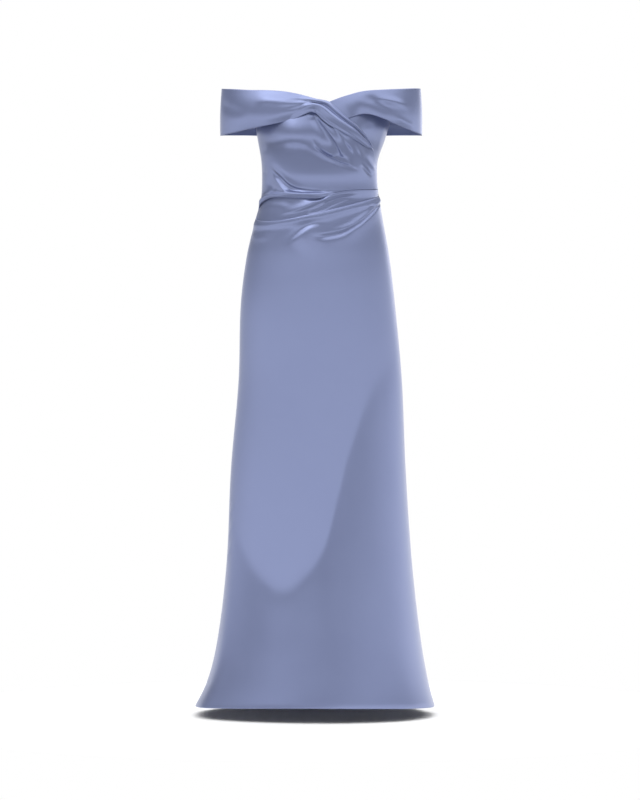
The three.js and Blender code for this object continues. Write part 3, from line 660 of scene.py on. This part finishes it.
for side, tag in ((-1, "left"), (1, "right")):
    backPiece("bodice_back_cloth_" + tag, bodiceBack, side, lambda turn: backWaist + seamGap / 2 + 0 * turn,
              lambda turn: underarm - 1.0 + 0 * turn, "bodice_back_" + tag, lambda v: v)
    backPiece("skirt_back_cloth_" + tag, skirtBack, side, lambda turn: hemHeight(turn) + 1.2,
              lambda turn: backWaist - seamGap / 2 + 0 * turn, "skirt_back_" + tag, skirtRow)
print("back laid")

# The collar stands on a wide ring round both arms and comes in to the figure at the centre front.
ring = {"top": 232, "left": 229.5, "right": 235, "flare": 0.03, "front": 7.3, "back": 8, "gapTurn": 0.2}

# Each row: upper edge's turn and height, lower edge's, how far it stands out, how much more at its lower
# edge, how closely it follows the figure, its swell and how much it is gathered.
leftCollarRows = [
    (-90, 232, -90, 121, 0, 0, 0, 1.5, 0),
    (-75, 229, -75, 121, 0, 0, 0, 3, 0),
    (-60, 226, -60, 123, 0, 0, 0, 5, 0),
    (-45, 222, -46, 130, 0, 0, 0, 6, 0),
    (-32, 220, -33, 137, 0, 1, 0, 6, 0),
    (-21.5, 216.5, -21, 146, 0, 2.5, 0, 5, 0),
    (-13, 210, -13.5, 155, 1.5, 3.5, 0.15, 5, 0.15),
    (-6.8, 202.5, -8.5, 162.5, 4, 3.5, 0.5, 5, 0.3),
    (-2, 196, -5.2, 165.5, 5.5, 3, 0.85, 4.5, 0.7),
    (2.2, 192.5, -2.3, 161, 5.5, 2.5, 1, 4, 1),
    (5.2, 188, 0.5, 150.5, 5, 2, 1, 4.5, 1),
    (8.3, 176, 4.4, 137, 5, 1, 1, 5, 1),
    (12.2, 160.5, 9.4, 126, 5, 0, 1, 5, 1),
    (15.8, 148, 13.8, 116, 4.6, 0, 1, 4.6, 0.95),
    (19.8, 135, 18.4, 106, 4, 0, 1, 4, 0.85),
    (23.4, 121, 22.3, 98, 3.2, 0, 1, 3, 0.7),
    (27, 104, 26, 90.5, 2.4, 0, 1, 1.6, 0.5),
    (29, 93, 28.6, 85.5, 2, 0, 1, 0.4, 0.2),
]
rightCollarRows = [
    (2, 184, 9, 146, 0, 0, 1, 0, 0),
    (5.5, 190.5, 15, 151, 0, 0, 0.9, 1, 0),
    (11, 200, 18.5, 156.5, 0, 0, 0.7, 2.5, 0),
    (16.7, 208, 22.5, 162, 0, 1, 0.5, 4, 0),
    (22.6, 215, 26.5, 163.5, 0, 2, 0.25, 5, 0),
    (28.7, 219, 31, 161.5, 0, 2, 0.1, 5, 0),
    (38.7, 222, 38.5, 153.5, 0, 1, 0, 5, 0),
    (50.4, 225, 50.3, 139.5, 0, 0, 0, 5, 0),
    (68, 229, 68, 126, 0, 0, 0, 3.5, 0),
    (90, 232, 90, 121, 0, 0, 0, 1.5, 0),
]
# Turn, upper height, lower height and swell of the collar's back half.
backCollarRows = [(90, 232, 121, 1.5), (110, 227, 124.5, 3), (143, 211, 127, 3), (180, 198, 121, 0)]
collarLeft = {
    "columns": 250,
    "rows": 84,
    "wall": 1.0,
    "flat": (0.42, 0.13),
    "area": 0.041,
    "lowEdge": collarEdge,
    "highEdge": collarEdge,
    # pleats of the twist: where they lie across it, how high and how wide they are
    "pleats": [(0.86, 3, 0.09), (0.69, -3, 0.07), (0.46, 2.4, 0.13), (0.16, -1.2, 0.08)],
    "folds": [
        {"path": [(-42, 196), (-27, 192), (-12, 184)],
         "rise": 2.4, "above": 15, "below": 12, "fade": (0.35, 0.3)},
        # the arch's edge rolls under, and two gathers run out of the knot
        {"path": [(-36, 132), (-22, 143), (-14, 152), (-8, 160), (-2, 160)],
         "rise": -4.5, "above": 11, "below": 12, "fade": (0.35, 0.08)},
        {"path": [(-26, 176), (-15, 178), (-7, 184), (-1, 190)],
         "rise": -1.8, "above": 5, "below": 7, "fade": (0.45, 0.3)},
        {"path": [(-82, 200), (-62, 178), (-44, 166)],
         "rise": -1.2, "above": 12, "below": 14, "fade": (0.35, 0.35)},
    ],
}
collarRight = {
    "columns": 140,
    "rows": 64,
    "wall": 1.0,
    "flat": (0.27, 0.13),
    "area": 0.0263,
    "lowEdge": collarEdge,
    "highEdge": collarEdge,
    "folds": [
        {"path": [(30, 203), (40, 197), (50, 190), (62, 177)],
         "rise": 2.2, "above": 8, "below": 8, "fade": (0.45, 0.4)},
        {"path": [(25, 212), (31, 196), (41, 178), (54, 164)],
         "rise": -2.2, "above": 9, "below": 12, "fade": (0.35, 0.4)},
        {"path": [(44, 160), (55, 147), (68, 136)],
         "rise": 1.4, "above": 7, "below": 8, "fade": (0.35, 0.35)},
    ],
}
collarBack = {
    "columns": 80,
    "rows": 40,
    "wall": 1.0,
    "flat": (0.27, 0.145),
    "area": 0.0347,
    "lowEdge": {**collarEdge, "under": 26, "steps": 8},
    "highEdge": collarEdge,
    "folds": [
        {"path": [(98, 196), (116, 184), (136, 178)], "rise": 2.4, "above": 10, "below": 7},
        {"path": [(104, 150), (124, 152), (150, 160)], "rise": -1.8, "above": 9, "below": 9},
    ],
}


def sideReach(turn, z):
    reach = smoothRows(figureRows, z)
    return np.where(turn < 0, reach[..., 1], reach[..., 2])


def ringPoint(turn, z, stand):
    reach = smoothRows(figureRows, z)
    angle = np.radians(turn)
    wide = np.where(turn < 0, ring["left"], ring["right"]) + ring["flare"] * (ring["top"] - z)
    x = (wide + stand) * np.sin(angle)
    ahead = np.cos(angle)
    share = x / np.where(x < 0, reach[..., 1], reach[..., 2])
    clear = -figurePoint(np.degrees(np.arcsin(np.clip(share, -1, 1))), z)[..., 1] + ring["front"]
    clear = np.where(np.abs(share) > 0.97, 0, clear)
    front = np.maximum((reach[..., 3] + ring["front"] + stand) * ahead, clear + stand)
    back = (reach[..., 4] + ring["back"] + stand) * ahead
    return np.stack([x, -np.where(ahead < 0, back, front), z + 0 * x], axis=-1)


def huggingPoint(turn, z, stand):
    share = np.clip(ringPoint(turn, z, 0)[..., 0] / sideReach(turn, z), -0.97, 0.97)
    figureTurn = np.degrees(np.arcsin(share))
    normal = outwardAt(figurePoint, figureTurn, z, 0.5, 2)
    return figurePoint(figureTurn, z) + normal * (ring["front"] + stand)[..., None]


def collarSurface(piece, rows):
    keyed = [(at, *row) for at, row in enumerate(rows)]
    inset = 0.015

    def smooth(u, v):
        v = mix(inset, 1 - inset, v)
        row = smoothRows(keyed, u * (len(rows) - 1))
        turn = mix(row[..., 3], row[..., 1], v)
        z = mix(row[..., 4], row[..., 2], v)
        stand = row[..., 5] + row[..., 6] * (1 - v) ** 2
        hug = np.clip(row[..., 7], 0, 1)[..., None]
        return mix(ringPoint(turn, z, stand), huggingPoint(turn, z, stand), hug), row, turn, z

    def surface(u, v):
        point, row, turn, z = smooth(u, v)
        out = outwardAt(lambda a, b: smooth(a, b)[0], u, v, 0.004, 0.02)
        rise = row[..., 8] * np.sin(np.pi * v)
        for across, high, wide in piece.get("pleats", ()):
            rise = rise + row[..., 9] * high * fallOff(v - across, wide)
        rise = rise + layFolds(piece["folds"], turn, z)[0]
        return point + out * rise[..., None]

    return surface


def backCollarSurface(piece, side):
    def smooth(u, v):
        turn = mix(90 + ring["gapTurn"], 180 - ring["gapTurn"], u if side > 0 else 1 - u)
        row = smoothRows(backCollarRows, turn)
        z = mix(row[..., 2] + 1.5, row[..., 1] - 1.5, v)
        return ringPoint(side * turn, z, 0), row, turn, z

    def surface(u, v):
        point, row, turn, z = smooth(u, v)
        out = outwardAt(lambda a, b: smooth(a, b)[0], u, v, 0.004, 0.02)
        edge = smoothStep(turn, 90, 97) * (1 - smoothStep(turn, 172, 180))
        rise = row[..., 3] * np.sin(np.pi * v) + layFolds(piece["folds"], turn, z)[0] * edge
        return point + out * rise[..., None]

    return surface


collarPieces = [
    ("collar_left_cloth", collarLeft, collarSurface(collarLeft, leftCollarRows), "collar_front_left"),
    ("collar_right_cloth", collarRight, collarSurface(collarRight, rightCollarRows), "collar_front_right"),
    ("collar_back_cloth_left", collarBack, backCollarSurface(collarBack, -1), "collar_back_left"),
    ("collar_back_cloth_right", collarBack, backCollarSurface(collarBack, 1), "collar_back_right"),
]
for name, piece, surface, node in collarPieces:
    cloth = clothPiece(name, piece, surface)
    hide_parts(node)
print("collar laid")

# The metal of the zip, painted in the colour of the cloth.
zipLook = {"colour": (0.24, 0.27, 0.38), "roughness": 0.34}


def makeZipMetal():
    material = bpy.data.materials.new("zip_metal")
    material.use_nodes = True
    nodes, links = material.node_tree.nodes, material.node_tree.links
    shader = nodes["Principled BSDF"]
    shader.inputs["Base Color"].default_value = (*zipLook["colour"], 1)
    shader.inputs["Metallic"].default_value = 0.7
    place = nodes.new("ShaderNodeTexCoord")
    wear = nodes.new("ShaderNodeTexNoise")
    wear.inputs["Scale"].default_value = 700
    links.new(place.outputs["Object"], wear.inputs["Vector"])
    gloss = nodes.new("ShaderNodeMapRange")
    gloss.inputs["To Min"].default_value = zipLook["roughness"] - 0.08
    gloss.inputs["To Max"].default_value = zipLook["roughness"] + 0.08
    links.new(wear.outputs["Fac"], gloss.inputs["Value"])
    links.new(gloss.outputs["Result"], shader.inputs["Roughness"])
    return material


zipMetal = makeZipMetal()

# Tape and fine teeth behind the centre back seam, from the collar's top to below the waist.
zipper = {
    "top": 195,
    "bottom": -228,
    "tapeWide": 11,
    "tapeThick": 0.5,
    "tooth": (1.7, 0.9, 0.9),
    "pitch": 2.2,
    "inCollar": 5.2,
    "inBack": 0.4,
}


def zipDepth(z):
    # the collar stands further out than the back below it
    share = smoothStep(z, 104, 160)
    return smoothRows(figureRows, z)[..., 4] + mix(zipper["inBack"], zipper["inCollar"], share)


def detailPiece(name, bm, material):
    bmesh.ops.recalc_face_normals(bm, faces=bm.faces)
    mesh = bpy.data.meshes.new(name)
    bm.to_mesh(mesh)
    bm.free()
    mesh.materials.append(material)
    piece = bpy.data.objects.new(name, mesh)
    bpy.context.scene.collection.objects.link(piece)
    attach(piece, "dress")


def zipRows(heights):
    return [(z, float(zipDepth(np.array(z)))) for z in heights]


def pairs(items):
    return [(items[i], items[i + 1]) for i in range(len(items) - 1)]


def zipTape(side):
    # a ribbon of two faces across and one wall thick
    heights = np.linspace(zipper["bottom"], zipper["top"], 61)
    bm = bmesh.new()
    rings = []
    for z, y in zipRows(heights):
        near, far = side * 0.35, side * zipper["tapeWide"]
        corners = ((near, y), (far, y), (far, y - zipper["tapeThick"]), (near, y - zipper["tapeThick"]))
        rings.append([bm.verts.new((x / 1000, deep / 1000, z / 1000)) for x, deep in corners])
    for low, high in pairs(rings):
        for i in range(4):
            bm.faces.new((low[i], low[(i + 1) % 4], high[(i + 1) % 4], high[i]))
    bm.faces.new(rings[0])
    bm.faces.new(rings[-1])
    detailPiece("zip_tape_left" if side < 0 else "zip_tape_right", bm, satin)


def zipTeeth():
    bm = bmesh.new()
    wide, deep, tall = zipper["tooth"]
    for side in (-1, 1):
        start = zipper["bottom"] + 2 + (zipper["pitch"] / 2 if side > 0 else 0)
        for z, y in zipRows(np.arange(start, zipper["top"] - 2, zipper["pitch"])):
            made = bmesh.ops.create_cube(bm, size=1)["verts"]
            bmesh.ops.scale(bm, verts=made, vec=(wide / 1000, deep / 1000, tall / 1000))
            place = (side * (wide / 2 - 0.3) / 1000, (y + deep / 2) / 1000, z / 1000)
            bmesh.ops.translate(bm, verts=made, vec=place)
    detailPiece("zip_teeth", bm, zipMetal)


for side in (-1, 1):
    zipTape(side)
zipTeeth()
print("zip tape and teeth laid")

for node in ("zip_slider", "zip_pull"):
    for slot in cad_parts[node].material_slots:
        slot.link = "OBJECT"
        slot.material = zipMetal

# Floor, lights and camera.
stage = {"floor": -1.231, "radius": 1.0}
camera = {"lens": 154.3, "sensor": 36, "away": 8, "height": -0.495}
lights = {
    "key": {"place": (-2.4, -2.8, 4.2), "aim": (0, 0, 0), "size": (2.4, 1.6), "power": 26},
    "rim": {"place": (2.8, 4.2, 0.75), "aim": (0, 0, 0), "size": (2.4, 1.3), "power": 9},
}
sun = {"power": 0.5, "spread": 50}
# Light of the studio by the sine of its height over the horizon.
studio = {
    "bands": [
        (-1, 0.55), (-0.28, 0.55), (-0.12, 1.4), (0.08, 1.5), (0.2, 0.36), (0.47, 0.36), (0.58, 1.65),
        (1, 1.65),
    ],
    # brightness by turn from straight ahead, over +X to behind and on to -X
    "round": [
        (-180, 0.95), (-140, 0.6), (-104, 0.75), (-72, 1.0), (62, 1.0), (110, 1.05), (150, 1.0), (180, 0.95),
    ],
}


def makeFloor():
    bm = bmesh.new()
    bmesh.ops.create_circle(bm, cap_ends=True, segments=96, radius=stage["radius"])
    bmesh.ops.translate(bm, verts=bm.verts, vec=(0, 0, stage["floor"]))
    mesh = bpy.data.meshes.new("floor")
    bm.to_mesh(mesh)
    bm.free()
    floor = bpy.data.objects.new("floor", mesh)
    bpy.context.scene.collection.objects.link(floor)
    material = bpy.data.materials.new("floor")
    material.use_nodes = True
    shader = material.node_tree.nodes["Principled BSDF"]
    shader.inputs["Base Color"].default_value = (0.94, 0.94, 0.94, 1)
    shader.inputs["Roughness"].default_value = 0.9
    floor.data.materials.append(material)


def softbox(name, light):
    lamp = bpy.data.lights.new(name, "AREA")
    lamp.shape = "RECTANGLE"
    lamp.size, lamp.size_y = light["size"]
    lamp.energy = light["power"]
    holder = bpy.data.objects.new(name, lamp)
    holder.location = light["place"]
    toward = Vector(light["aim"]) - Vector(light["place"])
    holder.rotation_euler = toward.to_track_quat("-Z", "Y").to_euler()
    holder.visible_camera = False
    bpy.context.scene.collection.objects.link(holder)


def makeSun():
    lamp = bpy.data.lights.new("overhead", "SUN")
    lamp.energy = sun["power"]
    lamp.angle = math.radians(sun["spread"])
    holder = bpy.data.objects.new("overhead", lamp)
    bpy.context.scene.collection.objects.link(holder)


def setStops(ramp, stops):
    while len(ramp.elements) < len(stops):
        ramp.elements.new(0.5)
    for element, stop in zip(ramp.elements, stops):
        element.position = stop[0]
    for element, stop in zip(ramp.elements, stops):
        element.color = (stop[1], stop[1], stop[1], 1)


def makeWorld():
    world = bpy.data.worlds.new("studio")
    bpy.context.scene.world = world
    world.use_nodes = True
    nodes, links = world.node_tree.nodes, world.node_tree.links
    light = nodes["Background"]
    place = nodes.new("ShaderNodeTexCoord")
    split = nodes.new("ShaderNodeSeparateXYZ")
    height = nodes.new("ShaderNodeMapRange")
    height.inputs["From Min"].default_value = -1
    bands = nodes.new("ShaderNodeValToRGB")
    bands.color_ramp.interpolation = "EASE"
    setStops(bands.color_ramp, [((at + 1) / 2, bright) for at, bright in studio["bands"]])
    ahead = nodes.new("ShaderNodeMath")
    ahead.operation = "MULTIPLY"
    ahead.inputs[1].default_value = -1
    about = nodes.new("ShaderNodeMath")
    about.operation = "ARCTAN2"
    circle = nodes.new("ShaderNodeMapRange")
    circle.inputs["From Min"].default_value = -math.pi
    circle.inputs["From Max"].default_value = math.pi
    sides = nodes.new("ShaderNodeValToRGB")
    setStops(sides.color_ramp, [((turn + 180) / 360, bright) for turn, bright in studio["round"]])
    links.new(split.outputs["Y"], ahead.inputs[0])
    links.new(split.outputs["X"], about.inputs[0])
    links.new(ahead.outputs["Value"], about.inputs[1])
    links.new(about.outputs["Value"], circle.inputs["Value"])
    links.new(circle.outputs["Result"], sides.inputs["Fac"])
    links.new(place.outputs["Generated"], split.inputs["Vector"])
    links.new(split.outputs["Z"], height.inputs["Value"])
    links.new(height.outputs["Result"], bands.inputs["Fac"])
    links.new(bands.outputs["Color"], light.inputs["Color"])
    links.new(sides.outputs["Color"], light.inputs["Strength"])
    backdrop = nodes.new("ShaderNodeBackground")
    backdrop.inputs["Color"].default_value = (1, 1, 1, 1)
    path = nodes.new("ShaderNodeLightPath")
    choose = nodes.new("ShaderNodeMixShader")
    links.new(path.outputs["Is Camera Ray"], choose.inputs["Fac"])
    links.new(light.outputs["Background"], choose.inputs[1])
    links.new(backdrop.outputs["Background"], choose.inputs[2])
    links.new(choose.outputs["Shader"], nodes["World Output"].inputs["Surface"])


def makeCamera():
    lens = bpy.data.cameras.new("camera")
    lens.lens = camera["lens"]
    lens.sensor_width = camera["sensor"]
    holder = bpy.data.objects.new("camera", lens)
    holder.location = (0, -camera["away"], camera["height"])
    holder.rotation_euler = (math.radians(90), 0, 0)
    bpy.context.scene.collection.objects.link(holder)
    bpy.context.scene.camera = holder


makeFloor()
for name, light in lights.items():
    softbox(name, light)
makeSun()
makeWorld()
makeCamera()
bpy.context.scene.view_settings.view_transform = "Standard"
print("stage, lights and camera ready")
